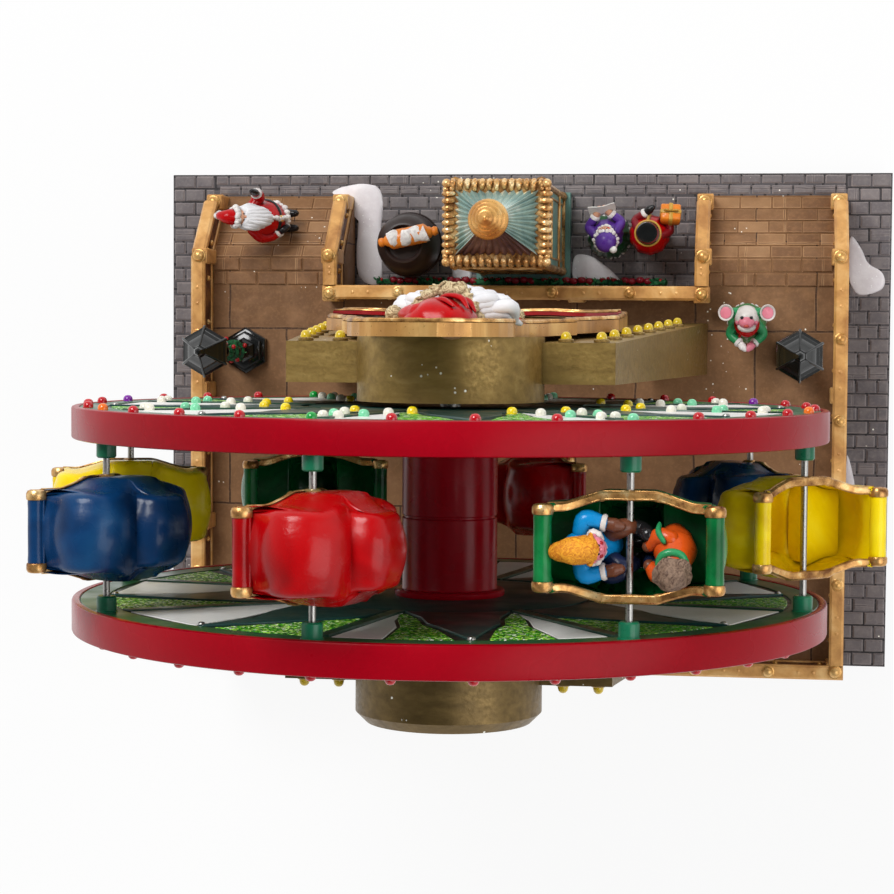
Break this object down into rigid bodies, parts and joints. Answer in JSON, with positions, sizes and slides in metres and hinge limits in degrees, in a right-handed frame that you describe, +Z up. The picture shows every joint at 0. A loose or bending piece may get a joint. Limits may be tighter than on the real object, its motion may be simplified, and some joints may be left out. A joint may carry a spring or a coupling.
{
  "type": "tabletop ferris wheel",
  "caption": "Musical christmas ferris wheel with sleigh gondolas, bronze A-frame supports, a sign with a Santa relief, and a brick plaza with lamps, ticket booth and figures",
  "frame": {"origin": "centre of the footprint on the surface that the feet stand on", "axes": "+Z up, the front with the sign and booth faces -Y, the wheel's axle runs along Y, +X is the viewer's right when looking along +Y"},
  "size_m": [0.364, 0.245, 0.4544],
  "materials": {
    "grey_brick": "painted brick paving on moulded plastic",
    "deck_brown": "painted brown slabs and brick ramps",
    "rail_gold": "gold paint on moulded plastic",
    "cover_black": "plain moulded plastic",
    "foot_rubber": "matt rubber",
    "lamp_black": "glossy black paint",
    "booth_teal": "glitter paint",
    "finial_gold": "gold paint",
    "kettle_dark": "glossy dark glaze",
    "loaf_orange": "painted resin",
    "figure_paint": "hand painted resin",
    "garland_green": "painted greenery",
    "bronze": "antique bronze paint",
    "sign_bronze": "antique bronze paint with gold edge",
    "ribbon_red": "glossy red paint",
    "relief_red": "glossy paint on moulded relief",
    "bulb_yellow": "clear coloured plastic",
    "rim_red": "glossy deep red",
    "face_green": "printed and glittered face",
    "bulb_mix": "clear coloured plastic",
    "spool_red": "glossy deep red",
    "rod_steel": "drawn steel",
    "collar_green": "glossy green plastic",
    "bush_white": "natural acetal",
    "gear_white": "natural acetal",
    "motor_steel": "plated steel can",
    "board_green": "solder mask",
    "speaker_black": "paper cone on a steel frame",
    "car_blue": "glossy blue with gold edges",
    "car_red": "glossy red with gold edges",
    "car_green": "glossy green with gold edges",
    "car_yellow": "glossy yellow with gold edges"
  },
  "bodies": {
    "base": {"base_plinth": "grey_brick", "bottom_cover": "cover_black", "rubber_feet": "foot_rubber", "deck": "deck_brown", "deck_rails": "rail_gold", "power_inlet": "cover_black", "speaker": "speaker_black", "circuit_board": "board_green", "lamp_posts": "lamp_black", "lamp_lanterns": "lamp_black", "booth_body": "booth_teal", "booth_roof": "booth_teal", "booth_finial": "finial_gold", "kettle": "kettle_dark", "iced_loaf": "loaf_orange", "carol_singers": "figure_paint", "santa_figure": "figure_paint", "animal_figure": "figure_paint", "garland": "garland_green", "front_support": "bronze", "rear_support": "bronze", "front_hub_cover": "bronze", "rear_hub_cover": "bronze", "marquee_bulbs": "bulb_yellow", "sign_plaque": "sign_bronze", "sign_ribbon": "ribbon_red", "santa_relief": "relief_red", "axle_bushes": "bush_white", "gear_motor": "motor_steel"},
    "wheel": {"front_disc": "rim_red", "rear_disc": "rim_red", "front_face_plate": "face_green", "rear_face_plate": "face_green", "wheel_bulbs": "bulb_mix", "spool_halves": "spool_red", "rods": "rod_steel", "rod_collars": "collar_green", "axle": "rod_steel", "wheel_gear": "gear_white"},
    "pinion": {"motor_pinion": "gear_white"},
    "switch": {"power_switch": "cover_black"},
    "button": {"song_button": "cover_black"},
    "gondola_body_1": {"gondola_1": "car_blue", "riders_1": "figure_paint"},
    "gondola_body_2": {"gondola_2": "car_red"},
    "gondola_body_3": {"gondola_3": "car_green", "riders_3": "figure_paint"},
    "gondola_body_4": {"gondola_4": "car_yellow"},
    "gondola_body_5": {"gondola_5": "car_blue", "riders_5": "figure_paint"},
    "gondola_body_6": {"gondola_6": "car_red"},
    "gondola_body_7": {"gondola_7": "car_green"},
    "gondola_body_8": {"gondola_8": "car_yellow"}
  },
  "joints": [
    {"name": "wheel_spin", "type": "hinge", "parent": "base", "child": "wheel", "pos_m": [0, 0.0285, 0.288], "axis": [0, 1, 0], "continuous": true},
    {"name": "pinion_spin", "type": "hinge", "parent": "base", "child": "pinion", "pos_m": [0, 0.083, 0.267], "axis": [0, 1, 0], "continuous": true},
    {"name": "power_slide", "type": "slide", "parent": "base", "child": "switch", "axis": [1, 0, 0], "range_m": [0, 0.003]},
    {"name": "song_press", "type": "slide", "parent": "base", "child": "button", "axis": [0, -1, 0], "range_m": [0, 0.0015], "stiffness_N_per_m": 300},
    {"name": "gondola_swing_1", "type": "hinge", "parent": "wheel", "child": "gondola_body_1", "pos_m": [0.11494, 0.0285, 0.36437], "axis": [0, 1, 0], "continuous": true},
    {"name": "gondola_swing_2", "type": "hinge", "parent": "wheel", "child": "gondola_body_2", "pos_m": [0.02728, 0.0285, 0.42328], "axis": [0, 1, 0], "continuous": true},
    {"name": "gondola_swing_3", "type": "hinge", "parent": "wheel", "child": "gondola_body_3", "pos_m": [-0.07637, 0.0285, 0.40294], "axis": [0, 1, 0], "continuous": true},
    {"name": "gondola_swing_4", "type": "hinge", "parent": "wheel", "child": "gondola_body_4", "pos_m": [-0.13528, 0.0285, 0.31528], "axis": [0, 1, 0], "continuous": true},
    {"name": "gondola_swing_5", "type": "hinge", "parent": "wheel", "child": "gondola_body_5", "pos_m": [-0.11494, 0.0285, 0.21163], "axis": [0, 1, 0], "continuous": true},
    {"name": "gondola_swing_6", "type": "hinge", "parent": "wheel", "child": "gondola_body_6", "pos_m": [-0.02728, 0.0285, 0.15272], "axis": [0, 1, 0], "continuous": true},
    {"name": "gondola_swing_7", "type": "hinge", "parent": "wheel", "child": "gondola_body_7", "pos_m": [0.07637, 0.0285, 0.17306], "axis": [0, 1, 0], "continuous": true},
    {"name": "gondola_swing_8", "type": "hinge", "parent": "wheel", "child": "gondola_body_8", "pos_m": [0.13528, 0.0285, 0.26072], "axis": [0, 1, 0], "continuous": true}
  ],
  "couplings": [
    {"joint": "pinion_spin", "follows": "wheel_spin", "ratio": -2.5}
  ]
}
